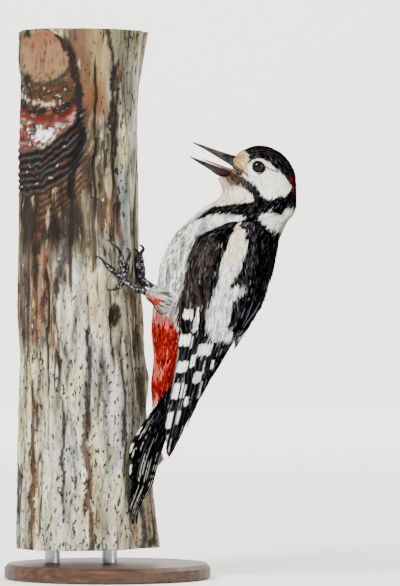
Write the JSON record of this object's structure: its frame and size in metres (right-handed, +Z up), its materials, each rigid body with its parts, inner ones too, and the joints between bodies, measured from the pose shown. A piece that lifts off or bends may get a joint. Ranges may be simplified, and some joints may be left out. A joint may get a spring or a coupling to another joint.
{
  "type": "great spotted woodpecker",
  "caption": "Great spotted woodpecker with its bill open, clinging upright to a cut length of tree trunk that stands on short rods over a round display base.",
  "frame": {"origin": "middle of the round base's underside, on the floor", "axes": "+Z up; the bird clings to the +X side of the trunk; its left side faces -Y"},
  "size_m": [0.1517, 0.1194, 0.2863],
  "materials": {
    "feathers_black": "glossy blue-black feather",
    "feathers_white": "soft matt white to cream feather",
    "bill_horn": "dark grey horn with a dull sheen",
    "tongue_flesh": "moist pink flesh",
    "eye": "wet dark red-brown eye",
    "leg_skin": "scaly grey skin",
    "claw_horn": "dark horn",
    "bark": "rough weathered bark",
    "stand_wood": "satin dark stained wood",
    "stand_steel": "satin steel"
  },
  "bodies": {
    "root": {"stand_base": "stand_wood", "stand_rod_1": "stand_steel", "stand_rod_2": "stand_steel", "perch_trunk": "bark", "torso": "feathers_white", "neck": "feathers_black", "head": "feathers_black", "bill_upper": "bill_horn", "bill_lower": "bill_horn", "tongue": "tongue_flesh", "tail": "feathers_black", "eye_left": "eye", "wing_left": "feathers_black", "thigh_left": "feathers_white", "tarsus_left": "leg_skin", "foot_left": "leg_skin", "claw_hallux_left": "claw_horn", "claw_inner_left": "claw_horn", "claw_middle_left": "claw_horn", "claw_outer_left": "claw_horn", "eye_right": "eye", "wing_right": "feathers_black", "thigh_right": "feathers_white", "tarsus_right": "leg_skin", "foot_right": "leg_skin", "claw_hallux_right": "claw_horn", "claw_inner_right": "claw_horn", "claw_middle_right": "claw_horn", "claw_outer_right": "claw_horn"}
  },
  "joints": []
}
